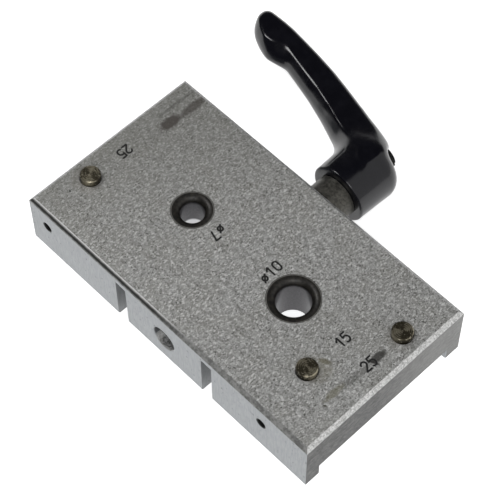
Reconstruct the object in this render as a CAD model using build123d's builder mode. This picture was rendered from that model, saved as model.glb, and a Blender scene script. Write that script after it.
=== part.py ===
from build123d import *
import os
from math import cos, pi, sin, sqrt

os.makedirs("parts", exist_ok=True)

# Drilling jig for furniture dowels and connectors, in millimetres.
# The origin is the middle of the face that rests on the work, the ceiling of the channel.
# X runs along the block, Y towards the clamping lever and Z up.

# ---------------------------------------------------------------- driving dimensions

# Block
block_length = 110.0
block_width = 60.0
plate_thickness = 15.0
leg_height = 5.0
leg_width = 5.0
top_chamfer = 1.2
foot_chamfer = 0.5
hole_edge_break = 0.25

# Front tongue, cut free on three sides and held by the thin web above it
tongue_width = 30.0
slot_width = 4.0
relief_width = 2.0
web_thickness = 3.0

# Drill bushes, pressed in flush
bush_7_bore = 7.0
bush_7_outer = 12.0
bush_10_bore = 10.0
bush_10_outer = 15.0
bush_rim = 0.5
bush_end_chamfer = 0.3
bush_wall = 3.5
bush_to_clamp_wall = 1.0

# Stop pins, pushed down to stand below the work face
short_stop = 15.0
long_stop = 25.0
pin_diameter = 6.0
pin_clearance = 0.05
pin_travel = 2.0
pin_waist_depth = 0.6
pin_chamfer = 0.35
pin_inset = 17.0
pin_end_wall = 4.0

# Detents: ball, spring and grub screw in a cross hole
ball_diameter = 2.5
ball_clearance = 0.05
detent_spring_wire = 0.3
detent_spring_pitch = 0.75
detent_spring_gap = 0.35
grub_thread_depth = 0.2
grub_length = 4.0
grub_recess = 3.0
grub_socket = 1.5
grub_socket_depth = 1.6
grub_chamfer = 0.3

# Clamp screw
stud_diameter = 7.9
thread_clearance = 0.05
clamp_bore_clearance = 0.15
clamp_bore_cover = 0.4
stud_recess = 11.0
stud_end_chamfer = 0.8
front_hole_chamfer = 0.3
washer_outer = 14.0
washer_thickness = 1.0

# Toothed insert of the lever
collar_diameter = 13.5
collar_length = 6.8
collar_chamfer = 0.5
tooth_count = 18
tooth_outer = 12.2
tooth_depth = 0.7
tooth_release = 0.4
tooth_start = 1.5
tooth_clearance = 0.15
spindle_diameter = 6.0
spindle_clearance = 0.1
spindle_proud = 4.0

# Lever
hub_foot_diameter = 18.9
hub_diameter = 19.8
hub_straight = 12.6
hub_length = 17.2
hub_crown_radius = 5.0
hub_edge = 0.6
hub_web_gap = 1.0
hub_web = 2.5
handle_lift = 3.6
lever_spring_wire = 0.9
lever_spring_pitch = 1.9
lever_spring_inner_gap = 0.2
lever_spring_outer_gap = 0.5

# Retaining screw
screw_head_clearance = 0.4
screw_head_height = 3.5
screw_head_crown = 0.7
screw_head_proud = 3.4
screw_shank = 4.0
screw_engagement = 6.0
screw_slot_width = 1.1
screw_slot_depth = 1.0

# Arm of the lever: stations from the hub to the tip, as the distance out from the screw's axis,
# the distance beyond the hub's foot, half the width and half the height
arm_stations = [
    (0.0, 13.8, 6.6, 6.6),
    (7.0, 16.7, 6.6, 6.4),
    (14.5, 19.2, 6.1, 5.8),
    (23.0, 22.0, 5.8, 5.1),
    (32.1, 24.4, 5.4, 4.7),
    (42.0, 26.5, 5.0, 4.5),
    (50.2, 26.7, 5.9, 4.7),
    (56.6, 27.9, 5.1, 4.4),
    (60.5, 29.3, 3.6, 3.5),
    (62.3, 30.1, 2.1, 2.1),
]
arm_rounding = 0.62

# ---------------------------------------------------------------- places that follow

# Full lift draws the teeth apart by the release.
tooth_length = handle_lift - tooth_release
tooth_end = tooth_start + tooth_length
tooth_tip = tooth_outer / 2
tooth_foot = tooth_tip - tooth_depth

half_length = block_length / 2
half_width = block_width / 2
channel_width = block_width - 2 * leg_width
through = 1.0

pin_radius = pin_diameter / 2
pin_hole_radius = pin_radius + pin_clearance
clamp_bore_radius = stud_diameter / 2 + clamp_bore_clearance
clamp_height = clamp_bore_cover + clamp_bore_radius

# The bushes stand as far out as the long stop and its pin leave room for, clear of the clamp bore.
largest_bush = max(bush_7_outer, bush_10_outer)
bush_offset = max(
    half_length - pin_end_wall - pin_diameter - long_stop,
    clamp_bore_radius + bush_to_clamp_wall + largest_bush / 2,
)
pin_row = half_width - pin_inset
relief_back = -(largest_bush / 2 + bush_wall)
relief_front = relief_back - relief_width
detent_height = plate_thickness / 2

# The ball rides on the waist; half the width of its cap at the pin's surface sets the shoulders.
ball_radius = ball_diameter / 2
waist_radius = pin_radius - pin_waist_depth
ball_offset = waist_radius + ball_clearance + ball_radius
cap_depth = ball_radius - (pin_waist_depth - ball_clearance)
ball_half_cap = sqrt(ball_radius ** 2 - cap_depth ** 2)
waist_low = detent_height - ball_half_cap - ball_clearance
waist_high = detent_height + ball_half_cap + pin_travel + ball_clearance
detent_bore_radius = ball_radius + ball_clearance
grub_radius = detent_bore_radius + grub_thread_depth

# Stop pins: name, place along the block, and side of the block that its cross hole opens on
pin_places = [
    ("stop_pin_25_left", -bush_offset - long_stop - pin_radius, -1),
    ("stop_pin_15", bush_offset + short_stop + pin_radius, -1),
    ("stop_pin_25_right", bush_offset + long_stop + pin_radius, 1),
]

# Stations of the lever along Y
washer_face = half_width + washer_thickness
hub_foot = washer_face + collar_length
hub_end = hub_foot + hub_length
web_start = hub_foot + tooth_end + hub_web_gap
spring_seat = web_start + hub_web
spindle_end = spring_seat + spindle_proud
head_seat = hub_end + screw_head_proud - screw_head_height
stud_end = -half_width + stud_recess

# The lever spring lies round the spindle, and its chamber round the spring.
lever_spring_radius = spindle_diameter / 2 + lever_spring_inner_gap + lever_spring_wire / 2
chamber_radius = lever_spring_radius + lever_spring_wire / 2 + lever_spring_outer_gap
head_radius = chamber_radius - screw_head_clearance

clamp_axis = Axis((0, 0, clamp_height), (0, 1, 0))
turning_plane = Plane.XY.offset(clamp_height)


def facing_back(y):
    """Plane across the clamp axis at y, facing the lever."""
    return Plane(origin=(0, y, clamp_height), x_dir=(1, 0, 0), z_dir=(0, 1, 0))


def into_side(x, side):
    """Plane on the front (-1) or back (1) face at the detents' height, facing into the block."""
    return Plane(origin=(x, side * half_width, detent_height), x_dir=(1, 0, 0), z_dir=(0, -side, 0))


def upright(x, y):
    """Plane for the half profile of a piece turned about a vertical axis at x, y."""
    return Plane(origin=(x, y, 0), x_dir=(1, 0, 0), z_dir=(0, -1, 0))


def save(part, name):
    """Label a finished piece and write it."""
    part.label = name
    export_step(part, f"parts/{name}.step")


# ---------------------------------------------------------------- jig body

with BuildPart() as jig_body:
    with BuildSketch(Plane.XY.offset(-leg_height)):
        Rectangle(block_length, block_width)
    extrude(amount=leg_height + plate_thickness)
    chamfer(jig_body.faces().sort_by(Axis.Z)[-1].edges(), length=top_chamfer)
    chamfer(jig_body.faces().sort_by(Axis.Z)[0].edges(), length=foot_chamfer)

    # Channel over the work
    with BuildSketch(Plane.XY.offset(-leg_height)):
        Rectangle(block_length + 2 * through, channel_width)
    extrude(amount=leg_height, mode=Mode.SUBTRACT)

    # Two slots and the relief behind the tongue, up to the web
    slot_reach = half_width + relief_back + through
    with BuildSketch(Plane.XY.offset(-leg_height)):
        for side in (-1, 1):
            with Locations((side * (tongue_width + slot_width) / 2, relief_back - slot_reach / 2)):
                Rectangle(slot_width, slot_reach)
        with Locations((0, (relief_back + relief_front) / 2)):
            Rectangle(tongue_width + 2 * slot_width, relief_width)
    extrude(amount=leg_height + plate_thickness - web_thickness, mode=Mode.SUBTRACT)

    # Seats of the bushes
    for x, outer in ((-bush_offset, bush_7_outer), (bush_offset, bush_10_outer)):
        with BuildSketch(Plane.XY):
            with Locations((x, 0)):
                Circle(outer / 2)
        extrude(amount=plate_thickness, mode=Mode.SUBTRACT)

    # Holes of the stop pins, with a broken edge at the top
    with BuildSketch(Plane.XY):
        for _, x, side in pin_places:
            with Locations((x, side * pin_row)):
                Circle(pin_hole_radius)
    extrude(amount=plate_thickness, mode=Mode.SUBTRACT)
    pin_hole_rims = (
        jig_body.edges()
        .filter_by(GeomType.CIRCLE)
        .filter_by(lambda edge: abs(edge.radius - pin_hole_radius) < pin_clearance)
        .group_by(Axis.Z)[-1]
    )
    chamfer(pin_hole_rims, length=hole_edge_break)

    # Cross holes of the detents: the ball's bore, then the thread for the grub screw
    for _, x, side in pin_places:
        with BuildSketch(into_side(x, side)):
            Circle(detent_bore_radius)
        extrude(amount=half_width - pin_row, mode=Mode.SUBTRACT)
        with BuildSketch(into_side(x, side)):
            Circle(grub_radius)
        extrude(amount=grub_recess + grub_length, mode=Mode.SUBTRACT)
    grub_rims = (
        jig_body.edges()
        .filter_by(GeomType.CIRCLE)
        .filter_by(lambda edge: abs(edge.radius - grub_radius) < pin_clearance)
        .filter_by(lambda edge: abs(abs(edge.arc_center.Y) - half_width) < pin_clearance)
    )
    chamfer(grub_rims, length=hole_edge_break)

    # Clearance bore for the stud as far as the relief, then its thread in the tongue
    with BuildSketch(facing_back(half_width)):
        Circle(clamp_bore_radius)
    extrude(amount=relief_front - half_width, mode=Mode.SUBTRACT)
    with BuildSketch(facing_back(relief_front)):
        Circle(stud_diameter / 2 + thread_clearance)
    extrude(amount=-half_width - relief_front, mode=Mode.SUBTRACT)
    front_rim = (
        jig_body.edges()
        .filter_by(GeomType.CIRCLE)
        .filter_by(lambda edge: edge.radius > pin_hole_radius)
        .filter_by(lambda edge: abs(edge.arc_center.Y + half_width) < pin_clearance)
    )
    chamfer(front_rim, length=front_hole_chamfer)
save(jig_body.part, "jig_body")

# ---------------------------------------------------------------- drill bushes

bush_sizes = [
    ("drill_bush_7", -bush_offset, bush_7_bore / 2, bush_7_outer / 2),
    ("drill_bush_10", bush_offset, bush_10_bore / 2, bush_10_outer / 2),
]
for name, x, bore_radius, outer_radius in bush_sizes:
    lead_radius = outer_radius - bore_radius - bush_rim
    with BuildPart() as bush:
        with BuildSketch(upright(x, 0)):
            with BuildLine():
                Polyline(
                    (bore_radius, plate_thickness - lead_radius),
                    (bore_radius, bush_end_chamfer),
                    (bore_radius + bush_end_chamfer, 0),
                    (outer_radius - bush_end_chamfer, 0),
                    (outer_radius, bush_end_chamfer),
                    (outer_radius, plate_thickness),
                    (bore_radius + lead_radius, plate_thickness),
                )
                CenterArc((bore_radius + lead_radius, plate_thickness - lead_radius), lead_radius, 90, 90)
            make_face()
        revolve(axis=Axis((x, 0, 0), (0, 0, 1)))
    save(bush.part, name)

# ---------------------------------------------------------------- stop pins and their detents

pin_top = plate_thickness + pin_travel
ball_depth = half_width - pin_row - ball_offset
spring_start = grub_recess + grub_length
detent_spring_radius = detent_bore_radius - detent_spring_gap - detent_spring_wire / 2
spring_stop = ball_depth - sqrt(ball_radius ** 2 - detent_spring_radius ** 2) - detent_spring_wire / 2

for name, x, side in pin_places:
    y = side * pin_row
    with BuildPart() as stop_pin:
        with BuildSketch(upright(x, y)):
            with BuildLine():
                Polyline(
                    (0, 0),
                    (pin_radius - pin_chamfer, 0),
                    (pin_radius, pin_chamfer),
                    (pin_radius, waist_low),
                    (waist_radius, waist_low),
                    (waist_radius, waist_high),
                    (pin_radius, waist_high),
                    (pin_radius, pin_top - pin_chamfer),
                    (pin_radius - pin_chamfer, pin_top),
                    (0, pin_top),
                    close=True,
                )
            make_face()
        revolve(axis=Axis((x, y, 0), (0, 0, 1)))
    save(stop_pin.part, name)

    detent = name.replace("stop_pin", "detent")
    with BuildPart() as detent_ball:
        with Locations((x, side * (pin_row + ball_offset), detent_height)):
            Sphere(ball_radius)
    save(detent_ball.part, f"{detent}_ball")

    with BuildPart() as detent_spring:
        with BuildLine() as spring_line:
            Helix(
                pitch=detent_spring_pitch,
                height=spring_stop - spring_start - detent_spring_wire,
                radius=detent_spring_radius,
                center=(x, side * (half_width - spring_start - detent_spring_wire / 2), detent_height),
                direction=(0, -side, 0),
            )
        with BuildSketch(Plane(origin=spring_line.line @ 0, z_dir=spring_line.line % 0)):
            Circle(detent_spring_wire / 2)
        sweep(path=spring_line.line, is_frenet=True)
    save(detent_spring.part, f"{detent}_spring")

    with BuildPart() as grub_screw:
        with BuildSketch(into_side(x, side).offset(grub_recess)):
            Circle(grub_radius)
        extrude(amount=grub_length)
        chamfer(grub_screw.edges().filter_by(GeomType.CIRCLE), length=grub_chamfer)
        with BuildSketch(into_side(x, side).offset(grub_recess)):
            RegularPolygon(grub_socket / 2, 6, major_radius=False)
        extrude(amount=grub_socket_depth, mode=Mode.SUBTRACT)
    save(grub_screw.part, f"{detent}_grub_screw")

# ---------------------------------------------------------------- clamp screw

with BuildPart() as thrust_washer:
    with BuildSketch(facing_back(half_width)):
        Circle(washer_outer / 2)
        Circle(clamp_bore_radius, mode=Mode.SUBTRACT)
    extrude(amount=washer_thickness)
    chamfer(thrust_washer.faces().sort_by(Axis.Y)[-1].outer_wire().edges(), length=hole_edge_break)
save(thrust_washer.part, "thrust_washer")

with BuildPart() as clamp_stud:
    with BuildSketch(facing_back(stud_end)):
        Circle(stud_diameter / 2)
    extrude(amount=washer_face + collar_length - stud_end)
    chamfer(clamp_stud.faces().sort_by(Axis.Y)[0].edges(), length=stud_end_chamfer)
save(clamp_stud.part, "clamp_stud")


def toothed_outline(clearance):
    """Corners of the insert's ring of pointed teeth, grown by a clearance."""
    corners = []
    for index in range(2 * tooth_count):
        radius = clearance + (tooth_tip if index % 2 == 0 else tooth_foot)
        angle = pi * index / tooth_count
        corners.append((radius * cos(angle), radius * sin(angle)))
    return corners


with BuildPart() as toothed_insert:
    with BuildSketch(turning_plane):
        with BuildLine():
            Polyline(
                (0, washer_face),
                (collar_diameter / 2 - collar_chamfer, washer_face),
                (collar_diameter / 2, washer_face + collar_chamfer),
                (collar_diameter / 2, hub_foot),
                (tooth_foot, hub_foot),
                (tooth_foot, hub_foot + tooth_end),
                (spindle_diameter / 2, hub_foot + tooth_end),
                (spindle_diameter / 2, spindle_end),
                (0, spindle_end),
                close=True,
            )
        make_face()
    revolve(axis=clamp_axis)
    with BuildSketch(facing_back(hub_foot + tooth_start)):
        Polygon(*toothed_outline(0), align=None)
    extrude(amount=tooth_length)
    with BuildSketch(facing_back(washer_face)):
        Circle(stud_diameter / 2)
    extrude(amount=collar_length, mode=Mode.SUBTRACT)
    with BuildSketch(facing_back(spindle_end)):
        Circle(screw_shank / 2)
    extrude(amount=-screw_engagement, mode=Mode.SUBTRACT)
save(toothed_insert.part, "toothed_insert")

# ---------------------------------------------------------------- lever


def arm_direction(index):
    """Direction of the arm's middle line at a station, from the stations beside it."""
    before = arm_stations[max(index - 1, 0)]
    after = arm_stations[min(index + 1, len(arm_stations) - 1)]
    return Vector(before[0] - after[0], after[1] - before[1], 0).normalized()


with BuildPart() as clamp_handle:
    # Hub, drafted towards its foot, with a crowned outer end
    with BuildSketch(turning_plane):
        with BuildLine():
            hub_side = Polyline(
                (hub_crown_radius, hub_end),
                (0, hub_end),
                (0, hub_foot),
                (hub_foot_diameter / 2 - hub_edge, hub_foot),
                (hub_foot_diameter / 2, hub_foot + hub_edge),
                (hub_diameter / 2, hub_foot + hub_straight),
            )
            TangentArc(hub_side @ 1, hub_side @ 0, tangent=hub_side % 1)
        make_face()
    revolve(axis=clamp_axis)

    # Arm: rounded sections square to its middle line
    for index, (out, beyond, half_wide, half_high) in enumerate(arm_stations):
        station = Plane(
            origin=(-out, hub_foot + beyond, clamp_height),
            x_dir=(0, 0, 1),
            z_dir=arm_direction(index),
        )
        with BuildSketch(station):
            RectangleRounded(2 * half_high, 2 * half_wide, arm_rounding * min(half_wide, half_high))
    loft()

    # Guide bore of the spindle, spring chamber, and the toothed socket below them
    with BuildSketch(facing_back(hub_foot)):
        Circle(spindle_diameter / 2 + spindle_clearance)
    extrude(amount=hub_length, mode=Mode.SUBTRACT)
    with BuildSketch(facing_back(spring_seat)):
        Circle(chamber_radius)
    extrude(amount=hub_length, mode=Mode.SUBTRACT)
    with BuildSketch(facing_back(hub_foot)):
        Polygon(*toothed_outline(tooth_clearance), align=None)
    extrude(amount=tooth_end, mode=Mode.SUBTRACT)
    for start, depth in ((0, tooth_start), (tooth_end, hub_web_gap)):
        with BuildSketch(facing_back(hub_foot + start)):
            Circle(tooth_tip + tooth_clearance)
        extrude(amount=depth, mode=Mode.SUBTRACT)
save(clamp_handle.part, "clamp_handle")

with BuildPart() as lever_spring:
    with BuildLine() as lever_spring_line:
        Helix(
            pitch=lever_spring_pitch,
            height=head_seat - spring_seat - lever_spring_wire,
            radius=lever_spring_radius,
            center=(0, spring_seat + lever_spring_wire / 2, clamp_height),
            direction=(0, 1, 0),
        )
    with BuildSketch(Plane(origin=lever_spring_line.line @ 0, z_dir=lever_spring_line.line % 0)):
        Circle(lever_spring_wire / 2)
    sweep(path=lever_spring_line.line, is_frenet=True)
save(lever_spring.part, "lever_spring")

with BuildPart() as retaining_screw:
    with BuildSketch(turning_plane):
        with BuildLine():
            crown_edge = (head_radius, head_seat + screw_head_height - screw_head_crown)
            crown_middle = (0, head_seat + screw_head_height)
            Polyline(
                crown_edge,
                (head_radius, head_seat),
                (screw_shank / 2, head_seat),
                (screw_shank / 2, spindle_end - screw_engagement),
                (0, spindle_end - screw_engagement),
                crown_middle,
            )
            TangentArc(crown_middle, crown_edge, tangent=(1, 0))
        make_face()
    revolve(axis=clamp_axis)
    with BuildSketch(facing_back(head_seat + screw_head_height)):
        Rectangle(2 * head_radius + through, screw_slot_width)
    extrude(amount=-screw_slot_depth, mode=Mode.SUBTRACT)
save(retaining_screw.part, "retaining_screw")
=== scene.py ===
from math import cos, pi, radians, sin

import bmesh
import bpy
import numpy as np
from mathutils import Matrix, Vector


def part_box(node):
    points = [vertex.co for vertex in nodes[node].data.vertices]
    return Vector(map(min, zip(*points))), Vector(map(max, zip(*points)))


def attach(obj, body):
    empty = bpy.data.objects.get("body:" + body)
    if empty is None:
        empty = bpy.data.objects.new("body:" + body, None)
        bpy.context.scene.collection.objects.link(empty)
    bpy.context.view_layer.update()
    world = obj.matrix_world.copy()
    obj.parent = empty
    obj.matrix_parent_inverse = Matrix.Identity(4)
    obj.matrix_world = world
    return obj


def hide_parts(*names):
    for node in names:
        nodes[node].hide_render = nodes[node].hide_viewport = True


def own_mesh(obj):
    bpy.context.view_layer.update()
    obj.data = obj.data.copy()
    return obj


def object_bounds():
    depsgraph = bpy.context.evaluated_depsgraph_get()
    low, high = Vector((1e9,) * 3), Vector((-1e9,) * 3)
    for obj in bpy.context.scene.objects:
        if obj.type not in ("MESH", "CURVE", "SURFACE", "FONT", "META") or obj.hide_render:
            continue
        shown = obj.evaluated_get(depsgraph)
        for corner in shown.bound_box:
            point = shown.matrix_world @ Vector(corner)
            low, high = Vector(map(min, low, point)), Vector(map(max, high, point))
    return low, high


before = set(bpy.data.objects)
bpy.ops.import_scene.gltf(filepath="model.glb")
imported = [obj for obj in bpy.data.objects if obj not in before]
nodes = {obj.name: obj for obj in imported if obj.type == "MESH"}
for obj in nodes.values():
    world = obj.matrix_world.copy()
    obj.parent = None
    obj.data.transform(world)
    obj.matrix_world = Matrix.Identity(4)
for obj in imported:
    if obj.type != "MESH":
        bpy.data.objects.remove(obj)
cad_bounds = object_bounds()

# Dowel drilling jig: an aluminium block with two drill bushes, three stop pins and a clamping lever.
# Everything is in metres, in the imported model's frame; sizes here are given in millimetres times MM.
MM = 0.001


def node_box(name):
    """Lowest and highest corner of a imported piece, in millimetres."""
    low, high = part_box(name)
    return low / MM, high / MM


def axis_of(name):
    """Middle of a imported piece's box, in millimetres: where the axis of a turned piece lies."""
    low, high = node_box(name)
    return (low + high) / 2


def half_width(name):
    """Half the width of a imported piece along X, in millimetres: the radius of a turned piece."""
    low, high = node_box(name)
    return (high.x - low.x) / 2


block_low, block_high = node_box("jig_body")
TOP = block_high.z
CLAMP_HEIGHT = axis_of("clamp_stud").z
HUB_FOOT = node_box("clamp_handle")[0].y
BACK_FACE = block_high.y
CLAMP_HOLE_RADIUS = half_width("clamp_stud")
GRUB_HOLE_RADIUS = half_width("detent_15_grub_screw") + 0.25


# ---------------------------------------------------------------- finishes


X_AXIS, Y_AXIS, Z_AXIS = (1, 0, 0), (0, 1, 0), (0, 0, 1)
SPOT_WANDER = 0.7


class Finish:
    """A procedural material: one Principled shader and the nodes that colour it."""

    def __init__(self, name, roughness=0.5):
        self.material = bpy.data.materials.new(name)
        self.material.use_nodes = True
        self.tree = self.material.node_tree
        self.shader = next(n for n in self.tree.nodes if n.type == "BSDF_PRINCIPLED")
        self.shader.inputs["Roughness"].default_value = roughness
        self.place = self.add("ShaderNodeTexCoord").outputs["Object"]

    def add(self, kind, inputs=(), **properties):
        """A node with its properties set and its inputs linked or given a value."""
        node = self.tree.nodes.new(kind)
        for name, value in properties.items():
            setattr(node, name, value)
        for socket, value in enumerate(inputs):
            self.feed(node.inputs[socket], value)
        return node

    def feed(self, socket, value):
        if isinstance(value, bpy.types.NodeSocket):
            self.tree.links.new(value, socket)
        elif value is not None:
            socket.default_value = value

    def math(self, operation, a, b=0.0, c=0.0):
        return self.add("ShaderNodeMath", (a, b, c), operation=operation).outputs[0]

    def times(self, a, b):
        return self.math("MULTIPLY", a, b)

    def rest_of(self, mask):
        """One less a mask: everything that the mask leaves out."""
        return self.math("SUBTRACT", 1.0, mask)

    def coordinate(self, axis):
        """Place along an axis, in millimetres."""
        return self.math("DIVIDE", self.along(self.place, axis), MM)

    def vector(self, operation, a, b=(0, 0, 0)):
        node = self.add("ShaderNodeVectorMath", (a, b), operation=operation)
        return node.outputs["Value" if operation in ("LENGTH", "DOT_PRODUCT") else "Vector"]

    def along(self, vector, axis):
        """One component of a vector."""
        return self.vector("DOT_PRODUCT", vector, axis)

    def scaled(self, factors, shift=(0, 0, 0)):
        """Object place moved and stretched, so that a pattern can be drawn out along an axis."""
        return self.vector("MULTIPLY", self.vector("SUBTRACT", self.place, shift), factors)

    def noise(self, size, detail=2.0, roughness=0.5, place=None, distortion=0.0):
        """Cloudy noise whose blotches are about size millimetres across."""
        node = self.add("ShaderNodeTexNoise")
        self.feed(node.inputs["Vector"], place or self.place)
        node.inputs["Scale"].default_value = 1 / (size * MM)
        node.inputs["Detail"].default_value = detail
        node.inputs["Roughness"].default_value = roughness
        node.inputs["Distortion"].default_value = distortion
        return node.outputs["Fac"]

    def step(self, value, low, high, to_low=0.0, to_high=1.0):
        """Smooth step of a value from low to high."""
        node = self.add("ShaderNodeMapRange", interpolation_type="SMOOTHSTEP")
        for socket, number in zip(node.inputs, (value, low, high, to_low, to_high)):
            self.feed(socket, number)
        return node.outputs[0]

    def mix(self, factor, a, b):
        """Colour a turned into colour b by a factor."""
        node = self.add("ShaderNodeMix", data_type="RGBA")
        self.feed(node.inputs["Factor"], factor)
        self.feed(node.inputs[6], rgba(a))
        self.feed(node.inputs[7], rgba(b))
        return node.outputs[2]

    def blend(self, factor, a, b):
        """Number a turned into number b by a factor."""
        node = self.add("ShaderNodeMix", data_type="FLOAT")
        self.feed(node.inputs["Factor"], factor)
        self.feed(node.inputs[2], a)
        self.feed(node.inputs[3], b)
        return node.outputs[0]

    def bump(self, height, depth, strength=1.0):
        """Relief of the given depth in millimetres, laid over any relief before it."""
        node = self.add("ShaderNodeBump")
        node.inputs["Strength"].default_value = strength
        node.inputs["Distance"].default_value = depth * MM
        self.feed(node.inputs["Height"], height)
        normal = self.shader.inputs["Normal"]
        if normal.is_linked:
            self.tree.links.new(normal.links[0].from_socket, node.inputs["Normal"])
        self.tree.links.new(node.outputs["Normal"], normal)

    def colour(self, value):
        self.feed(self.shader.inputs["Base Color"], rgba(value))

    def set(self, socket, value):
        self.feed(self.shader.inputs[socket], value)

    def radius(self, centre, axis):
        """Distance from an axis through centre, in millimetres; axis is 'Y' or 'Z'."""
        keep = (1, 0, 1) if axis == "Y" else (1, 1, 0)
        flat = self.scaled(keep, shift=[c * MM for c in centre])
        return self.math("DIVIDE", self.vector("LENGTH", flat), MM)

    def spot(self, x, y, long, wide, turn):
        """Soft-edged oval mark on the top face, in millimetres, with a ragged outline."""
        moved = self.vector("SUBTRACT", self.place, (x * MM, y * MM, 0))
        across = (cos(turn) / (long * MM), sin(turn) / (long * MM), 0)
        up = (-sin(turn) / (wide * MM), cos(turn) / (wide * MM), 0)
        a = self.along(moved, across)
        b = self.along(moved, up)
        reach = self.math("SQRT", self.math("MULTIPLY_ADD", a, a, self.times(b, b)))
        wander = self.times(self.math("SUBTRACT", self.noise(1.6, 3), 0.5), SPOT_WANDER)
        return self.step(self.math("ADD", reach, wander), 1.15, 0.55)


def rgba(value):
    """A colour with its alpha, or a socket left as it is."""
    return (*value, 1.0) if isinstance(value, (tuple, list)) and len(value) == 3 else value


BROWN_STAIN = (0.075, 0.065, 0.058)

# Marks on the block's top: middle x and y, half length and half width, turn, colour, strength
STAINS = (
    (-46.3, 16.2, 4.6, 2.1, pi / 2, BROWN_STAIN, 0.88),
    (-45.8, 25.0, 5.4, 1.5, pi / 2, BROWN_STAIN, 0.72),
    (-50.0, 21.5, 7.0, 0.7, pi / 2, (0.10, 0.10, 0.09), 0.45),
    (48.3, 3.4, 3.0, 1.4, pi / 2, (0.04, 0.038, 0.034), 0.85),
    (48.9, 1.4, 1.6, 0.5, 0.4, (0.03, 0.028, 0.026), 0.85),
    (48.3, -5.0, 6.0, 1.2, pi / 2, (0.09, 0.09, 0.08), 0.45),
    (47.6, -12.5, 4.2, 1.2, pi / 2, (0.15, 0.14, 0.075), 0.55),
    (39.6, -7.6, 2.2, 0.9, 0.5, (0.12, 0.11, 0.06), 0.60),
    (39.4, -10.8, 5.0, 4.0, 0.0, (0.24, 0.22, 0.15), 0.30),
    (-48.5, -14.5, 5.5, 4.5, 0.0, (0.20, 0.18, 0.15), 0.30),
    (48.5, 11.0, 5.0, 4.0, 0.0, (0.20, 0.19, 0.17), 0.25),
    (48.7, -17.1, 0.6, 0.35, 0.5, (0.05, 0.045, 0.03), 0.9),
    (-48.6, -20.2, 0.45, 0.35, 0.0, (0.03, 0.03, 0.03), 0.9),
)

# Radii of the seats that show a gap line round them in the block's top
PIN_RADIUS = 3.0
BUSHES = {"drill_bush_7": (3.5, 6.0), "drill_bush_10": (5.0, 7.5)}
STOP_PINS = ("stop_pin_25_left", "stop_pin_15", "stop_pin_25_right")


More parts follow.
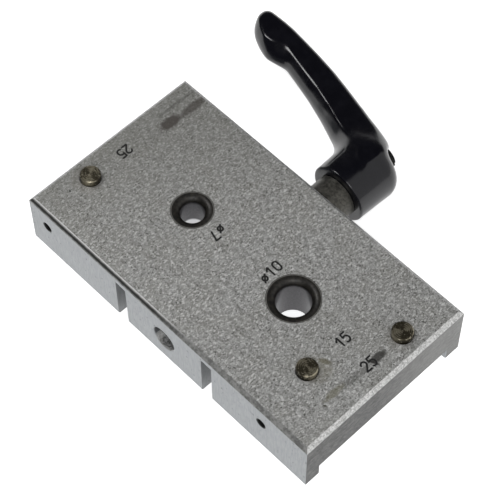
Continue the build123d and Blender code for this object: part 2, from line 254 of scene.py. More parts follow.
def rough_aluminium():
    """Tumbled aluminium: mottled on top, brighter on the milled sides, stained, with rubbed edges;
    painted shade on the top, painted light and shade on the chamfers and the ends.
    """
    f = Finish("tumbled_aluminium", roughness=0.6)
    f.set("Metallic", 0.45)
    normal = f.add("ShaderNodeNewGeometry").outputs["True Normal"]
    up, right, back = (f.along(normal, axis) for axis in (Z_AXIS, X_AXIS, Y_AXIS))
    x, y, level = (f.coordinate(axis) for axis in (X_AXIS, Y_AXIS, Z_AXIS))

    # Where each kind of surface lies
    top = f.times(f.step(up, 0.85, 0.97), f.step(level, TOP - 1.6, TOP - 1.3))
    upper_edge = f.times(f.step(up, 0.4, 0.6), f.rest_of(top))
    outermost = f.step(f.math("ABSOLUTE", x), block_high.x - 4.0, block_high.x - 1.5)
    sideways = f.step(f.math("ABSOLUTE", right), 0.85, 0.97)
    front_edge = f.times(upper_edge, f.step(back, -0.4, -0.6))
    end_edge = f.times(upper_edge, f.step(right, 0.4, 0.6))

    # Tumbled skin: cloudy ground, dull flecks and bright flecks
    clouds = f.noise(9.0, 3, 0.6)
    mottle = f.noise(1.5, 5, 0.75)
    grain = f.noise(0.5, 3, 0.7, distortion=0.5)
    patch = f.step(f.noise(3.6, 3, 0.65), 0.40, 0.60, 0.45, 1.0)
    dull = f.times(f.step(grain, 0.475, 0.385), patch)
    scratch = f.noise(0.45, 3, 0.65, f.scaled((1, 0.5, 1), shift=(3, 1, 2)), 0.8)
    bright = f.times(f.step(scratch, 0.53, 0.61), 0.8)
    skin = f.mix(f.step(mottle, 0.38, 0.62), (0.27, 0.27, 0.258), (0.47, 0.47, 0.46))
    skin = f.mix(f.step(clouds, 0.4, 0.6), skin, f.mix(0.35, skin, (0.30, 0.295, 0.27)))
    skin = f.mix(dull, skin, (0.06, 0.058, 0.052))
    skin = f.mix(bright, skin, (0.74, 0.74, 0.73))

    # Milled sides: smoother, bluish, with faint vertical tool marks, dull clouds and a few pits
    cutter = f.noise(0.5, 2, 0.5, f.scaled((1.0, 1.0, 0.12)))
    side = f.mix(f.step(cutter, 0.3, 0.7), (0.255, 0.268, 0.278), (0.31, 0.322, 0.332))
    side_clouds = f.step(f.noise(2.6, 3), 0.55, 0.75)
    side = f.mix(f.times(side_clouds, 0.35), side, (0.25, 0.26, 0.265))
    side = f.mix(f.times(dull, 0.25), side, (0.17, 0.17, 0.17))
    pits = f.step(f.noise(0.9, 2, 0.5), 0.68, 0.72)
    side = f.mix(f.times(pits, 0.8), side, (0.05, 0.05, 0.05))

    # Sawn ends: coarser, rubbed along the block's width, paler towards the back
    rubbed = f.noise(0.9, 4, 0.75, f.scaled((1.0, 0.3, 1.5)))
    ends = f.mix(f.step(rubbed, 0.42, 0.6), (0.010, 0.010, 0.010), (0.088, 0.088, 0.085))
    pale_end = (0.30, 0.30, 0.29)
    ends = f.mix(f.times(bright, 0.35), ends, pale_end)
    # Painted light: paler towards the back, where the end's back part is lit
    ends = f.mix(f.times(f.step(y, -8.0, 22.0), 0.35), ends, pale_end)
    side = f.mix(f.times(sideways, outermost), side, ends)

    # Walls of the slots and of the clamp hole, which get less light
    slot_wall = f.times(sideways, f.rest_of(outermost))
    side = f.mix(f.times(slot_wall, 0.4), side, (0.08, 0.08, 0.08))
    from_clamp = f.radius((0, 0, CLAMP_HEIGHT), "Y")
    clamp_hole = f.step(from_clamp, CLAMP_HOLE_RADIUS + 0.2, CLAMP_HOLE_RADIUS + 0.05)
    side = f.mix(f.times(clamp_hole, f.step(up, 0.9, -0.6, 0.25, 0.9)), side, (0.05, 0.05, 0.05))
    colour = f.mix(top, side, skin)

    # Chamfers: rubbed, speckled grey. Painted light brightens the end's chamfer; painted shade dulls
    # the front's, which carries a painted highlight line over a painted shade line
    edge_rub = f.step(f.noise(0.6, 3, 0.7), 0.42, 0.6)
    colour = f.mix(upper_edge, colour, f.mix(edge_rub, (0.16, 0.16, 0.155), (0.5, 0.5, 0.5)))
    # Painted shade: the front chamfer darker than the rest
    front = f.mix(f.step(mottle, 0.4, 0.6), (0.15, 0.15, 0.145), (0.32, 0.32, 0.31))
    colour = f.mix(f.times(front_edge, 0.9), colour, front)
    # Painted highlight line over a painted shade line, on the left part of the front chamfer
    edge_line_reach = f.times(front_edge, f.step(x, 14.0, -6.0))
    painted_shade_line = f.times(f.step(level, TOP - 0.42, TOP - 0.55), f.step(level, TOP - 1.05, TOP - 0.9))
    painted_highlight_line = f.step(level, TOP - 0.34, TOP - 0.2)
    colour = f.mix(f.times(f.times(edge_line_reach, painted_shade_line), 0.9), colour, (0.02, 0.02, 0.019))
    colour = f.mix(f.times(f.times(edge_line_reach, painted_highlight_line), 0.9), colour, (0.80, 0.80, 0.80))
    # Painted light: the end chamfer bright, over a speckled grain
    lit_end_chamfer = f.mix(f.step(grain, 0.38, 0.6), (0.40, 0.40, 0.39), (0.85, 0.85, 0.84))
    colour = f.mix(f.times(end_edge, 0.85), colour, lit_end_chamfer)

    # Painted shade: the top darkens towards the back left, where less light falls
    back_left_reach = f.math("SUBTRACT", f.times(y, 0.5), f.times(x, 1.1))
    shade = f.times(f.step(back_left_reach, -5.0, 80.0), 0.55)
    colour = f.mix(f.times(shade, top), colour, (0.16, 0.16, 0.14))

    for middle_x, middle_y, long, wide, turn, tint, strength in STAINS:
        mark = f.times(f.spot(middle_x, middle_y, long, wide, turn), strength)
        colour = f.mix(f.times(mark, top), colour, tint)

    # Dark gap round each stop pin and each bush
    seats = [(name, PIN_RADIUS) for name in STOP_PINS]
    seats += [(name, outer) for name, (bore, outer) in BUSHES.items()]
    for name, reach in seats:
        gap = f.step(f.radius(axis_of(name), "Z"), reach + 0.34, reach + 0.16)
        colour = f.mix(f.times(f.times(gap, top), 0.85), colour, (0.03, 0.027, 0.022))

    # Unlit holes of the grub screws, each on its own side of the block
    for name in nodes:
        if name.endswith("_grub_screw"):
            from_screw = f.radius(axis_of(name), "Y")
            hole = f.step(from_screw, GRUB_HOLE_RADIUS + 0.1, GRUB_HOLE_RADIUS - 0.05)
            own_side = f.step(y, 0.0, 4.0 if axis_of(name).y > 0 else -4.0)
            colour = f.mix(f.times(hole, own_side), colour, (0.012, 0.012, 0.012))

    f.colour(colour)
    f.set("Roughness", f.blend(top, 0.48, f.step(mottle, 0.3, 0.7, 0.52, 0.68)))
    f.bump(f.blend(top, cutter, grain), 0.03, 0.5)
    f.bump(mottle, 0.08, 0.35)
    return f.material


NARROW_BORE = 4.0
BUSH_RING_PITCH = 0.22


def blackened_bush(name, bore, outer):
    """Blackened hardened steel with a painted highlight on the top's outer edge, and a honed bore."""
    low, high = node_box(name)
    f = Finish("blackened_bush_%d" % round(2 * bore), roughness=0.35)
    r = f.radius(axis_of(name), "Z")
    level = f.coordinate(Z_AXIS)
    haze = f.noise(1.1, 3, 0.6)
    coat = f.mix(f.step(haze, 0.35, 0.7), (0.010, 0.009, 0.008), (0.030, 0.027, 0.022))
    in_bore = f.step(r, bore + 0.12, bore + 0.02)
    honing = f.noise(0.5, 2, 0.5, f.scaled((1, 1, 4)))
    honed = f.mix(f.step(honing, 0.3, 0.7), (0.075, 0.073, 0.077), (0.125, 0.122, 0.127))
    if bore < NARROW_BORE:
        # Painted reflection: the lower reach of a narrow bore painted bright, standing for the bright
        # floor mirrored in it
        depth = high.z - low.z
        painted_floor_glint = f.step(level, low.z + 0.37 * depth, low.z + 0.3 * depth)
        honed = f.mix(painted_floor_glint, honed, (0.7, 0.7, 0.71))
    colour = f.mix(in_bore, coat, honed)
    # Painted highlight: a thin bright line round the top's outer edge
    rim_highlight = f.times(f.step(r, outer - 0.16, outer - 0.06), f.step(level, high.z - 0.2, high.z - 0.05))
    f.colour(f.mix(f.times(rim_highlight, 0.55), colour, (0.42, 0.41, 0.38)))
    f.set("Metallic", f.blend(in_bore, 0.35, 0.9))
    f.set("Roughness", f.blend(in_bore, 0.42, 0.3))
    rings = f.math("SINE", f.times(r, 2 * pi / BUSH_RING_PITCH))
    f.bump(f.times(rings, f.rest_of(in_bore)), 0.004, 0.5)
    f.bump(haze, 0.02, 0.4)
    return f.material


TURNING_PITCH = 0.16


def turned_steel(name, dark, light, metallic, roughness):
    """Turned steel: fine rings round the clamp's axis over a patchy tarnish."""
    f = Finish(name, roughness=roughness)
    f.set("Metallic", metallic)
    along = f.coordinate(Y_AXIS)
    tarnish = f.noise(0.9, 4, 0.65, distortion=0.4)
    turning = f.math("ADD", f.radius((0, 0, CLAMP_HEIGHT), "Y"), along)
    rings = f.math("SINE", f.times(turning, 2 * pi / TURNING_PITCH))
    shade = f.math("MULTIPLY_ADD", rings, 0.08, tarnish)
    f.colour(f.mix(f.step(shade, 0.32, 0.68), dark, light))
    f.set("Roughness", f.step(tarnish, 0.3, 0.7, roughness - 0.08, roughness + 0.14))
    f.bump(rings, 0.004, 0.6)
    f.bump(tarnish, 0.02, 0.3)
    return f.material


PIN_RING_PITCH = 0.55


def stop_pin_steel(name):
    """Faced pin end: brownish oiled steel with a painted sheen in two bright sectors swept round the
    centre.
    """
    centre = axis_of(name)
    f = Finish(name + "_steel", roughness=0.34)
    f.set("Metallic", 0.85)
    moved = f.vector("SUBTRACT", f.place, [c * MM for c in centre])
    turn = f.math("ARCTAN2", f.along(moved, Y_AXIS), f.along(moved, X_AXIS))
    oil = f.noise(1.4, 3, 0.6, distortion=0.5)
    # Painted sheen: two bright sectors, bent by the oil and turned differently on each pin
    bent = f.math("MULTIPLY_ADD", oil, 3.0, centre[0])
    painted_sheen = f.math("SINE", f.math("MULTIPLY_ADD", turn, 2.0, bent))
    rings = f.math("SINE", f.times(f.radius(centre, "Z"), 2 * pi / PIN_RING_PITCH))
    shade = f.math("MULTIPLY_ADD", rings, 0.10, f.math("MULTIPLY_ADD", painted_sheen, 0.22, oil))
    colour = f.mix(f.step(shade, 0.38, 0.85), (0.040, 0.034, 0.021), (0.42, 0.38, 0.28))
    flecks = f.times(f.step(f.noise(0.5, 2), 0.58, 0.68), 0.5)
    f.colour(f.mix(flecks, colour, (0.62, 0.58, 0.46)))
    f.set("Roughness", f.step(shade, 0.3, 0.8, 0.5, 0.28))
    f.bump(rings, 0.006, 0.6)
    f.bump(oil, 0.03, 0.3)
    return f.material


def satin_black_coat():
    """Black coating on a casting: glossy, with a faint orange peel and haze."""
    f = Finish("satin_black_coat", roughness=0.2)
    peel = f.noise(0.6, 2, 0.5)
    wear = f.noise(3.5, 4, 0.6)
    f.colour(f.mix(f.step(wear, 0.4, 0.7), (0.0018, 0.0018, 0.0042), (0.0032, 0.0032, 0.0062)))
    f.set("Roughness", f.step(wear, 0.3, 0.7, 0.15, 0.24))
    f.bump(peel, 0.004, 0.25)
    return f.material


def marking_black():
    """Burnt-in black marking: matte, slightly uneven."""
    f = Finish("marking_black", roughness=0.75)
    faded = f.step(f.noise(0.35, 2), 0.45, 0.75)
    f.colour(f.mix(faded, (0.005, 0.005, 0.005), (0.022, 0.021, 0.020)))
    f.bump(f.noise(0.25, 1), 0.01, 0.4)
    return f.material


def smooth_steel(name, colour, metallic, roughness):
    """Plain steel with a little haze."""
    f = Finish(name)
    f.set("Metallic", metallic)
    haze = f.noise(0.8, 3, 0.6)
    f.colour(f.mix(f.step(haze, 0.35, 0.7), tuple(0.75 * c for c in colour), colour))
    f.set("Roughness", f.step(haze, 0.3, 0.7, roughness, roughness + 0.12))
    f.bump(haze, 0.01, 0.3)
    return f.material


def dull_black(name):
    """Blackened screws deep in their holes: no shine."""
    f = Finish(name, roughness=0.9)
    f.set("Specular IOR Level", 0.1)
    f.colour(f.mix(f.step(f.noise(0.7, 3), 0.4, 0.6), (0.006, 0.006, 0.006), (0.02, 0.02, 0.02)))
    f.bump(f.noise(0.4, 2), 0.02, 0.3)
    return f.material


def give(name, material):
    """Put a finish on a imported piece."""
    mesh = nodes[name].data
    mesh.materials.clear()
    mesh.materials.append(material)


# ---------------------------------------------------------------- making and placing meshes


def shown(name, mesh, material, body, replaced=()):
    """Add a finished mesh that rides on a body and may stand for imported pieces."""
    piece = bpy.data.objects.new(name, mesh)
    bpy.context.collection.objects.link(piece)
    mesh.materials.clear()
    mesh.materials.append(material)
    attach(piece, body)
    if replaced:
        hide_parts(*replaced)
    return piece


def finished(source, name):
    """Plain mesh of an object with its modifiers applied; the object is removed."""
    seen = source.evaluated_get(bpy.context.evaluated_depsgraph_get())
    mesh = bpy.data.meshes.new_from_object(seen)
    mesh.name = name
    bpy.data.objects.remove(source)
    return mesh


def turned(profile, sides, name, shape):
    """Closed mesh turned about the clamp's axis.

    The profile gives (radius, y) in millimetres from end to end, and shape(station, side, radius) the
    radius of each corner.
    """
    mesh = bpy.data.meshes.new(name)
    shell = bmesh.new()
    rings = []
    for station, (radius, y) in enumerate(profile):
        ring = []
        for side in range(sides):
            angle = 2 * pi * side / sides
            r = shape(station, side, radius)
            across, up = r * cos(angle), CLAMP_HEIGHT + r * sin(angle)
            ring.append(shell.verts.new((across * MM, y * MM, up * MM)))
        rings.append(ring)
    for before, after in zip(rings, rings[1:]):
        for side in range(sides):
            following = (side + 1) % sides
            shell.faces.new((before[side], before[following], after[following], after[side]))
    shell.faces.new(rings[0])
    shell.faces.new(rings[-1])
    bmesh.ops.recalc_face_normals(shell, faces=shell.faces)
    shell.to_mesh(mesh)
    shell.free()
    return mesh


# ---------------------------------------------------------------- lever

# The arm's outline seen along Z, in millimetres: distance out from the screw's axis; then how far the
# outer edge, the inner edge and the ridge between its top and its inner side lie beyond the block's
# back face; and half its height.
arm_outline = np.array([
    (-4.0, 28.2, 13.5, 16.0, 7.7),
    (2.0, 30.2, 15.5, 18.0, 7.6),
    (6.0, 31.3, 17.0, 19.6, 7.2),
    (10.0, 32.2, 18.6, 21.1, 6.6),
    (15.0, 33.5, 20.5, 22.9, 6.0),
    (22.0, 35.5, 23.3, 25.7, 5.3),
    (30.0, 37.5, 26.0, 28.4, 4.8),
    (38.0, 38.9, 28.2, 30.4, 4.6),
    (43.0, 39.6, 29.5, 31.7, 4.5),
    (46.5, 40.0, 28.6, 32.5, 4.6),
    (50.0, 40.4, 28.1, 30.9, 4.7),
    (53.5, 40.6, 29.2, 30.8, 4.6),
    (57.0, 40.65, 30.7, 32.6, 4.4),
    (60.0, 40.65, 32.6, 34.6, 4.2),
    (64.0, 40.7, 36.6, 37.6, 3.9),
    (67.0, 40.7, 39.0, 39.8, 3.7),
])
RIDGE_HEIGHT = 0.9  # part of the half height at which the ridge runs
ARM_REACH = 62.3  # from the screw's axis to the tip
TIP_MIDDLE = 38.8  # middle of the tip, beyond the back face
HUB_FOOT_RADIUS = 9.45
HUB_RADIUS = 9.9  # at the top of the drafted side
HUB_STRAIGHT = 12.6  # height of the drafted side
HUB_LENGTH = 17.2
HUB_CROWN = 5.0  # radius of the dome's small flat
FOOT_EDGE = 0.6  # rounding of the lower edges
SKIN_CELL = 0.42  # size of the skin's faces

# The teeth hollow, the spindle hole and the spring hole, and how far they go up from the hub's foot
TEETH_RADIUS = 6.25
TEETH_COUNT = 18
TOOTH_DEPTH = 0.7
SPINDLE_RADIUS = 3.1
SPRING_HOLE_RADIUS = 4.6
TEETH_FOOT, TEETH_TOP, WEB_FOOT, WEB_TOP = 1.5, 4.7, 5.7, 8.1
BORE_SIDES = 4 * TEETH_COUNT


def arm_measures(out):
    """Outer edge, inner edge, ridge and half height at distances out, eased between the stations."""
    fine = np.arange(-4.0, 66.0, 0.25)
    window = np.hanning(19)
    window = window / window.sum()
    measures = []
    for column in range(1, arm_outline.shape[1]):
        plain = np.interp(fine, arm_outline[:, 0], arm_outline[:, column])
        padded = np.pad(plain, len(window) // 2, mode="reflect", reflect_type="odd")
        measures.append(np.interp(out, fine, np.convolve(padded, window, mode="valid")))
    return measures


def both(a, b, ease):
    """Inside both solids, with the edge between them rounded by ease."""
    h = np.maximum(ease - np.abs(a - b), 0) / ease
    return np.maximum(a, b) + h * h * ease / 4


def either(a, b, ease):
    """Inside either solid, with a hollow fillet of ease between them."""
    h = np.maximum(ease - np.abs(a - b), 0) / ease
    return np.minimum(a, b) - h * h * ease / 4


def hub_solid(radius, beyond):
    """Signed distance to the hub: drafted side, domed outer end with a small flat, eased foot."""
    up = beyond - (HUB_FOOT - BACK_FACE)
    side = radius - HUB_FOOT_RADIUS - (HUB_RADIUS - HUB_FOOT_RADIUS) * up / HUB_STRAIGHT
    rise, run = HUB_LENGTH - HUB_STRAIGHT, HUB_RADIUS - HUB_CROWN
    dome_radius = (rise ** 2 + run ** 2) / (2 * run)
    dome = np.hypot(np.maximum(radius - HUB_RADIUS + dome_radius, 0), up - HUB_STRAIGHT) - dome_radius
    body = both(np.where(up > HUB_STRAIGHT, dome, side), up - HUB_LENGTH, 0.7)
    return both(body, -up, FOOT_EDGE)


def lever_solid(points):
    """Signed distance, roughly, to the lever's skin; points are (out, beyond, up)."""
    out, beyond, up = points.T
    outer, inner, ridge, height = arm_measures(out)
    rise = np.abs(up) / (RIDGE_HEIGHT * height)
    inner_side = inner + (ridge - inner) * rise ** 2 - beyond
    outer_side = beyond - outer + (1.2 + 1.2 * np.clip(1 - out / 14, 0, 1)) * rise ** 3
    middle = (outer + ridge) / 2
    top = np.abs(up) - height + 0.006 * (beyond - middle) ** 2
    tip = out - ARM_REACH + 0.03 * (beyond - TIP_MIDDLE) ** 2 + 0.05 * up ** 2
    arm = both(both(top, inner_side, 0.45), outer_side, 1.6)
    arm = both(arm, tip, 3.2)
    arm = both(arm, -out - 1.0, 2.0)
    hub = hub_solid(np.hypot(out, up), beyond)
    body = both(either(arm, hub, 5.0), np.abs(up) - HUB_RADIUS, 0.1)
    return both(body, HUB_FOOT - BACK_FACE - beyond, FOOT_EDGE)


def skin_mesh(solid, low, high, cell, name):
    """Quads over the zero surface of a solid: one corner in each cell that the surface crosses."""
    counts = np.ceil((np.array(high) - low) / cell).astype(int) + 1
    steps = [low[i] + cell * np.arange(counts[i]) for i in range(3)]
    grid = np.stack(np.meshgrid(*steps, indexing="ij"), -1)
    inside = solid(grid.reshape(-1, 3)).reshape(counts) < 0
    corners = sum(
        inside[i:counts[0] - 1 + i, j:counts[1] - 1 + j, k:counts[2] - 1 + k].astype(int)
        for i in (0, 1) for j in (0, 1) for k in (0, 1)
    )
    crossed = (corners > 0) & (corners < 8)
    number = -np.ones(crossed.shape, int)
    number[crossed] = np.arange(crossed.sum())
    points = np.array(low) + cell * (np.argwhere(crossed) + 0.5)
    small = 0.02
    for _ in range(8):
        value = solid(points)
        slope = np.stack([
            (solid(points + small * axis) - solid(points - small * axis)) / (2 * small)
            for axis in np.eye(3)
        ], -1)
        step = value[:, None] * slope / np.maximum((slope ** 2).sum(1), 0.2)[:, None]
        points = points - np.clip(step, -0.4 * cell, 0.4 * cell)
    faces = []
    for axis in range(3):
        u, v = [(1, 2), (2, 0), (0, 1)][axis]
        first = [slice(1, -1)] * 3
        first[axis] = slice(0, -1)
        second = list(first)
        second[axis] = slice(1, None)
        a, b = inside[tuple(first)], inside[tuple(second)]
        base = np.argwhere(a != b)
        base[:, u] += 1
        base[:, v] += 1
        quad = []
        for du, dv in ((0, 0), (-1, 0), (-1, -1), (0, -1)):
            cell_at = base.copy()
            cell_at[:, u] += du
            cell_at[:, v] += dv
            quad.append(number[tuple(cell_at.T)])
        quad = np.stack(quad, -1)
        flip = ~a[a != b]
        quad[flip] = quad[flip][:, ::-1]
        faces.append(quad)
    mesh = bpy.data.meshes.new(name)
    placed = np.stack([-points[:, 0], points[:, 1] + BACK_FACE, points[:, 2] + CLAMP_HEIGHT], -1) * MM
    mesh.from_pydata(placed.tolist(), [], np.concatenate(faces).tolist())
    return mesh


def lever():
    """Lever: eased casting, hollowed for the teeth, the spindle and the spring."""
    low, high = (-10.8, 6.9, -10.8), (63.6, 42.5, 10.8)
    mesh = skin_mesh(lever_solid, low, high, SKIN_CELL, "lever_casting")
    shell = bmesh.new()
    shell.from_mesh(mesh)
    bmesh.ops.recalc_face_normals(shell, faces=shell.faces)
    shell.to_mesh(mesh)
    shell.free()
    casting = bpy.data.objects.new("lever_casting", mesh)
    bpy.context.collection.objects.link(casting)
    bore = [(radius, HUB_FOOT + up) for radius, up in (
        (TEETH_RADIUS + 0.3, -1.0),
        (TEETH_RADIUS + 0.3, 0.01),
        (TEETH_RADIUS, 0.3),
        (TEETH_RADIUS, TEETH_FOOT),
        (TEETH_RADIUS, TEETH_FOOT + 0.01),
        (TEETH_RADIUS, TEETH_TOP),
        (TEETH_RADIUS, TEETH_TOP + 0.01),
        (TEETH_RADIUS, WEB_FOOT),
        (SPINDLE_RADIUS, WEB_FOOT),
        (SPINDLE_RADIUS, WEB_TOP),
        (SPRING_HOLE_RADIUS, WEB_TOP),
        (SPRING_HOLE_RADIUS, HUB_LENGTH + 6.8),
    )]
    toothed = (4, 5)

    def teeth(station, side, radius):
        return radius - TOOTH_DEPTH if station in toothed and side % 4 == 2 else radius

    cutter = bpy.data.objects.new("lever_bore", turned(bore, BORE_SIDES, "lever_bore", teeth))
    bpy.context.collection.objects.link(cutter)
    cut = casting.modifiers.new("bore", "BOOLEAN")
    cut.operation, cut.solver, cut.object = "DIFFERENCE", "EXACT", cutter
    mesh = finished(casting, "clamping_lever")
    bpy.data.objects.remove(cutter)
    mesh.shade_smooth()
    mesh.set_sharp_from_angle(angle=radians(40))
    shown("clamping_lever", mesh, satin_black_coat(), "handle", ["clamp_handle"])


lever()

# ---------------------------------------------------------------- numerals

GLYPH_HEIGHT = 3.05
GLYPH_WIDTH = 1.65
STROKE_WIDTH = 0.56
STROKE_HEIGHT = 0.03
POINT_SPACING = 0.09


def bend(middle, radii, start, stop, count=14):
    """Points along an oval arc, angles in degrees."""
    angles = np.radians(np.linspace(start, stop, count))
    return [(middle[0] + radii[0] * cos(a), middle[1] + radii[1] * sin(a)) for a in angles]


def glyph(character):
    """Strokes of a numeral in its cell, as lists of points; up is +Y."""
    w, h = GLYPH_WIDTH, GLYPH_HEIGHT
    half = w / 2
    if character == "0":
        path = bend((half, h - half), (half, half), 0, 180) + bend((half, half), (half, half), 180, 360)
        return [path + path[:1]]
    if character == "1":
        return [[(0.12, h - 0.95), (1.02, h), (1.02, 0)]]
    if character == "2":
        return [bend((half, h - half), (half, half), 168, -32) + [(0, 0), (w, 0)]]
    if character == "5":
        bowl = bend((half - 0.05, 1.0), (half + 0.05, 1.0), 128, -128)
        return [[(w - 0.1, h), (0.22, h), (0.12, 1.72)] + bowl]
    if character == "7":
        return [[(0, h), (w, h), (0.72, 0)]]
    # Diameter sign, written as "o"
    ring = bend((half, 0.9), (0.72, 0.8), 0, 360, 26)
    return [ring, [(0.0, -0.12), (w, 1.95)]]


# Each mark: characters, middle x and y, the side its top looks to along X, and letter spacing
marks = (
    ("25", -48.0, -0.10, -1, 2.25),
    ("o7", -9.45, 0.0, -1, 2.6),
    ("o10", 9.45, 1.45, 1, 2.55),
    ("15", 38.1, 0.35, 1, 2.2),
    ("25", 48.0, 0.05, 1, 2.3),
)


def stroke_tree():
    """Geometry nodes that turn drawn paths into flat, round-ended strokes."""
    tree = bpy.data.node_groups.new("marking_strokes", "GeometryNodeTree")
    face = tree.interface
    face.new_socket("Paths", in_out="INPUT", socket_type="NodeSocketGeometry")
    for name in ("Stroke Width", "Stroke Height", "Point Spacing"):
        face.new_socket(name, in_out="INPUT", socket_type="NodeSocketFloat")
    face.new_socket("Finish", in_out="INPUT", socket_type="NodeSocketMaterial")
    face.new_socket("Strokes", in_out="OUTPUT", socket_type="NodeSocketGeometry")
    add, link = tree.nodes.new, tree.links.new
    given, made = add("NodeGroupInput"), add("NodeGroupOutput")
    even = add("GeometryNodeResampleCurve")
    even.mode = "LENGTH"
    link(given.outputs["Paths"], even.inputs["Curve"])
    link(given.outputs["Point Spacing"], even.inputs["Length"])
    half = add("ShaderNodeMath")
    half.operation, half.inputs[1].default_value = "MULTIPLY", 0.5
    link(given.outputs["Stroke Width"], half.inputs[0])
    profile = add("GeometryNodeCurvePrimitiveCircle")
    profile.inputs["Resolution"].default_value = 8
    link(half.outputs[0], profile.inputs["Radius"])
    tube = add("GeometryNodeCurveToMesh")
    tube.inputs["Fill Caps"].default_value = True
    link(even.outputs["Curve"], tube.inputs["Curve"])
    link(profile.outputs["Curve"], tube.inputs["Profile Curve"])
    ball = add("GeometryNodeMeshUVSphere")
    ball.inputs["Segments"].default_value, ball.inputs["Rings"].default_value = 12, 8
    link(half.outputs[0], ball.inputs["Radius"])
    ends = add("GeometryNodeCurveEndpointSelection")
    caps = add("GeometryNodeInstanceOnPoints")
    link(even.outputs["Curve"], caps.inputs["Points"])
    link(ends.outputs["Selection"], caps.inputs["Selection"])
    link(ball.outputs["Mesh"], caps.inputs["Instance"])
    joined = add("GeometryNodeJoinGeometry")
    link(caps.outputs["Instances"], joined.inputs["Geometry"])
    link(tube.outputs["Mesh"], joined.inputs["Geometry"])
    real = add("GeometryNodeRealizeInstances")
    link(joined.outputs["Geometry"], real.inputs["Geometry"])
    squash = add("ShaderNodeMath")
    squash.operation = "DIVIDE"
    link(given.outputs["Stroke Height"], squash.inputs[0])
    link(half.outputs[0], squash.inputs[1])
    scale = add("ShaderNodeCombineXYZ")
    scale.inputs["X"].default_value = scale.inputs["Y"].default_value = 1
    link(squash.outputs[0], scale.inputs["Z"])
    flat = add("GeometryNodeTransform")
    link(real.outputs["Geometry"], flat.inputs["Geometry"])
    link(scale.outputs["Vector"], flat.inputs["Scale"])
    finish = add("GeometryNodeSetMaterial")
    link(flat.outputs["Geometry"], finish.inputs["Geometry"])
    link(given.outputs["Finish"], finish.inputs["Material"])
    link(finish.outputs["Geometry"], made.inputs["Strokes"])
    return tree


def set_inputs(modifier, values):
    """Give a nodes modifier its named inputs."""
    for item in modifier.node_group.interface.items_tree:
        if item.item_type == "SOCKET" and item.in_out == "INPUT" and item.name in values:
            modifier[item.identifier] = values[item.name]


def numerals():
    """Bore sizes and stop distances, marked on the top face."""
    paths = bpy.data.curves.new("marking_paths", "CURVE")
    paths.dimensions = "3D"
    for text, x, y, facing, spacing in marks:
        width = spacing * (len(text) - 1) + GLYPH_WIDTH
        for index, character in enumerate(text):
            for stroke in glyph(character):
                spline = paths.splines.new("POLY")
                spline.points.add(len(stroke) - 1)
                for point, (u, v) in zip(spline.points, stroke):
                    across = u + index * spacing - width / 2
                    up = v - GLYPH_HEIGHT / 2
                    point.co = ((x - facing * up) * MM, (y + facing * across) * MM, 0, 1)
    drawn = bpy.data.objects.new("marking_paths", paths)
    bpy.context.collection.objects.link(drawn)
    ink = marking_black()
    modifier = drawn.modifiers.new("strokes", "NODES")
    modifier.node_group = stroke_tree()
    set_inputs(modifier, {
        "Stroke Width": STROKE_WIDTH * MM,
        "Stroke Height": STROKE_HEIGHT * MM,
        "Point Spacing": POINT_SPACING * MM,
        "Finish": ink,
    })
    mesh = finished(drawn, "stop_and_bore_marks")
    mesh.transform(Matrix.Translation((0, 0, TOP * MM)))
    mesh.shade_smooth()
    shown("stop_and_bore_marks", mesh, ink, "block")


numerals()

# ---------------------------------------------------------------- lever spring

SPRING_WIRE = 0.9
SPRING_TURNS = 4.6
SPRING_END_TURN = 0.5  # closed part of a turn at each end
POINTS_PER_TURN = 40


def wire_tree():
    """Geometry nodes that draw a round wire along a path."""
    tree = bpy.data.node_groups.new("spring_wire", "GeometryNodeTree")
    face = tree.interface
    face.new_socket("Path", in_out="INPUT", socket_type="NodeSocketGeometry")
    face.new_socket("Wire Radius", in_out="INPUT", socket_type="NodeSocketFloat")
    face.new_socket("Finish", in_out="INPUT", socket_type="NodeSocketMaterial")
    face.new_socket("Wire", in_out="OUTPUT", socket_type="NodeSocketGeometry")
    add, link = tree.nodes.new, tree.links.new
    given, made = add("NodeGroupInput"), add("NodeGroupOutput")
    section = add("GeometryNodeCurvePrimitiveCircle")
    section.inputs["Resolution"].default_value = 14
    link(given.outputs["Wire Radius"], section.inputs["Radius"])
    wire = add("GeometryNodeCurveToMesh")
    wire.inputs["Fill Caps"].default_value = True
    link(given.outputs["Path"], wire.inputs["Curve"])
    link(section.outputs["Curve"], wire.inputs["Profile Curve"])
    real, finish = add("GeometryNodeRealizeInstances"), add("GeometryNodeSetMaterial")
    link(wire.outputs["Mesh"], real.inputs["Geometry"])
    link(real.outputs["Geometry"], finish.inputs["Geometry"])
    link(given.outputs["Finish"], finish.inputs["Material"])
    link(finish.outputs["Geometry"], made.inputs["Wire"])
    return tree


def lever_spring(material):
    """Coil spring between the lever's web and the screw's head, with a closed half turn at each end."""
    low, high = node_box("lever_spring")
    coil_radius = (high.x - low.x - SPRING_WIRE) / 2
    start, length = low.y + SPRING_WIRE / 2, high.y - low.y - SPRING_WIRE
    path = bpy.data.curves.new("spring_path", "CURVE")
    path.dimensions = "3D"
    count = round(SPRING_TURNS * POINTS_PER_TURN)
    spline = path.splines.new("POLY")
    spline.points.add(count)
    for index, point in enumerate(spline.points):
        turn = index / count * SPRING_TURNS
        risen = (turn - SPRING_END_TURN) / (SPRING_TURNS - 2 * SPRING_END_TURN)
        y = start + length * min(max(risen, 0), 1)
        angle = 2 * pi * turn
        across, up = coil_radius * cos(angle), CLAMP_HEIGHT + coil_radius * sin(angle)
        point.co = (across * MM, y * MM, up * MM, 1)
    drawn = bpy.data.objects.new("spring_path", path)
    bpy.context.collection.objects.link(drawn)
    modifier = drawn.modifiers.new("wire", "NODES")
    modifier.node_group = wire_tree()
    set_inputs(modifier, {"Wire Radius": SPRING_WIRE / 2 * MM, "Finish": material})
    mesh = finished(drawn, "lever_spring_coil")
    mesh.shade_smooth()
    mesh.set_sharp_from_angle(angle=radians(40))
    coil = shown("lever_spring_coil", mesh, material, "clamp_screw", ["lever_spring"])
    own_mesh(coil)


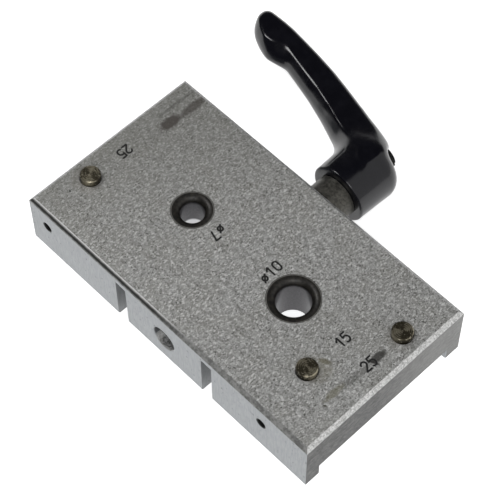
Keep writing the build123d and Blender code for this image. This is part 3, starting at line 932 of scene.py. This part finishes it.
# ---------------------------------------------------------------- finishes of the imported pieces

give("jig_body", rough_aluminium())
for name, (bore, outer) in BUSHES.items():
    give(name, blackened_bush(name, bore, outer))
for name in STOP_PINS:
    give(name, stop_pin_steel(name))
ball_steel = smooth_steel("ball_steel", (0.6, 0.6, 0.6), 1.0, 0.12)
wire_steel = smooth_steel("spring_wire", (0.4, 0.39, 0.37), 0.9, 0.32)
screw_black = dull_black("screw_black")
lever_spring(wire_steel)
for name in nodes:
    if name.endswith("_ball"):
        give(name, ball_steel)
    elif name.endswith("_spring"):
        give(name, wire_steel)
    elif name.endswith("_screw"):
        give(name, screw_black)
washer_steel = turned_steel("washer_steel", (0.28, 0.28, 0.27), (0.42, 0.42, 0.41), 0.9, 0.3)
stud_steel = turned_steel("stud_steel", (0.16, 0.155, 0.15), (0.30, 0.295, 0.28), 0.9, 0.35)
insert_steel = turned_steel("insert_steel", (0.045, 0.043, 0.038), (0.12, 0.115, 0.10), 0.7, 0.4)
give("thrust_washer", washer_steel)
give("clamp_stud", stud_steel)
give("toothed_insert", insert_steel)

# ---------------------------------------------------------------- floor, light and camera

FLOOR_LEVEL = cad_bounds[0][2]  # in metres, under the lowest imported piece
FLOOR_REACH = 6.0


def floor():
    """Plain white floor that keeps its own brightness."""
    f = Finish("white_floor", roughness=0.9)
    f.colour(f.mix(f.noise(400), (0.86, 0.86, 0.86), (0.88, 0.88, 0.88)))
    f.set("Emission Color", rgba((1.0, 1.0, 1.0)))
    f.set("Emission Strength", 0.75)
    mesh = bpy.data.meshes.new("floor")
    square = ((-1, -1), (1, -1), (1, 1), (-1, 1))
    corners = [(x * FLOOR_REACH, y * FLOOR_REACH, FLOOR_LEVEL) for x, y in square]
    mesh.from_pydata(corners, [], [(0, 1, 2, 3)])
    plane = bpy.data.objects.new("floor", mesh)
    bpy.context.collection.objects.link(plane)
    mesh.materials.append(f.material)


def soft_light(name, towards, distance, size, power):
    """Square soft light that looks at the block from a direction; metres and watts."""
    lamp = bpy.data.lights.new(name, "AREA")
    lamp.size, lamp.energy = size, power
    item = bpy.data.objects.new(name, lamp)
    direction = Vector(towards).normalized()
    item.location = direction * distance
    item.rotation_mode = "QUATERNION"
    item.rotation_quaternion = direction.to_track_quat("Z", "Y")
    bpy.context.collection.objects.link(item)


def room():
    """Studio surroundings: a bright wall to the right, dim everywhere else."""
    world = bpy.data.worlds.new("studio")
    bpy.context.scene.world = world
    world.use_nodes = True
    tree = world.node_tree
    tree.nodes.clear()
    add, link = tree.nodes.new, tree.links.new
    place = add("ShaderNodeTexCoord").outputs["Generated"]
    parts = add("ShaderNodeSeparateXYZ")
    link(place, parts.inputs[0])
    # Brightness by how far a direction points along X: from 0.07, left of the wall's edge, to 0.9
    side_glow = add("ShaderNodeMapRange")
    side_glow.interpolation_type = "SMOOTHSTEP"
    link(parts.outputs["X"], side_glow.inputs[0])
    for socket, number in zip(list(side_glow.inputs)[1:5], (0.12, 0.24, 0.07, 0.9)):
        socket.default_value = number
    light = add("ShaderNodeBackground")
    out = add("ShaderNodeOutputWorld")
    link(side_glow.outputs[0], light.inputs["Strength"])
    link(light.outputs[0], out.inputs["Surface"])


CAMERA_AZIMUTH = radians(46.085)
CAMERA_ELEVATION = radians(58.01)
CAMERA_ROLL = radians(-0.341)
CAMERA_DISTANCE = 507.127 * MM
CAMERA_SHIFT = (2.098 * MM, 6.281 * MM)
SENSOR_WIDTH, FOCAL_LENGTH = 36, 130.84
NEAREST, FARTHEST = 0.01, 50


def camera():
    """Camera above the block's front right corner, looking down at it."""
    a, e, r = CAMERA_AZIMUTH, CAMERA_ELEVATION, CAMERA_ROLL
    back = Vector((sin(a) * cos(e), -cos(a) * cos(e), sin(e)))
    level = Vector((cos(a), sin(a), 0))
    upright = back.cross(level)
    right = cos(r) * level + sin(r) * upright
    up = -sin(r) * level + cos(r) * upright
    middle = Vector((0, 0, (block_low.z + block_high.z) / 2 * MM))
    data = bpy.data.cameras.new("camera")
    data.sensor_width, data.lens = SENSOR_WIDTH, FOCAL_LENGTH
    data.clip_start, data.clip_end = NEAREST, FARTHEST
    item = bpy.data.objects.new("camera", data)
    item.rotation_mode = "QUATERNION"
    item.rotation_quaternion = Matrix((right, up, back)).transposed().to_quaternion()
    item.location = middle + CAMERA_SHIFT[0] * right + CAMERA_SHIFT[1] * up + CAMERA_DISTANCE * back
    bpy.context.collection.objects.link(item)
    bpy.context.scene.camera = item


floor()
room()
soft_light("above_left", (-0.60, -0.13, 0.78), 0.9, 0.3, 2.6)
soft_light("camera_side", (0.38, -0.45, 0.80), 1.1, 0.4, 3.0)
camera()
bpy.context.scene.view_settings.view_transform = "Standard"
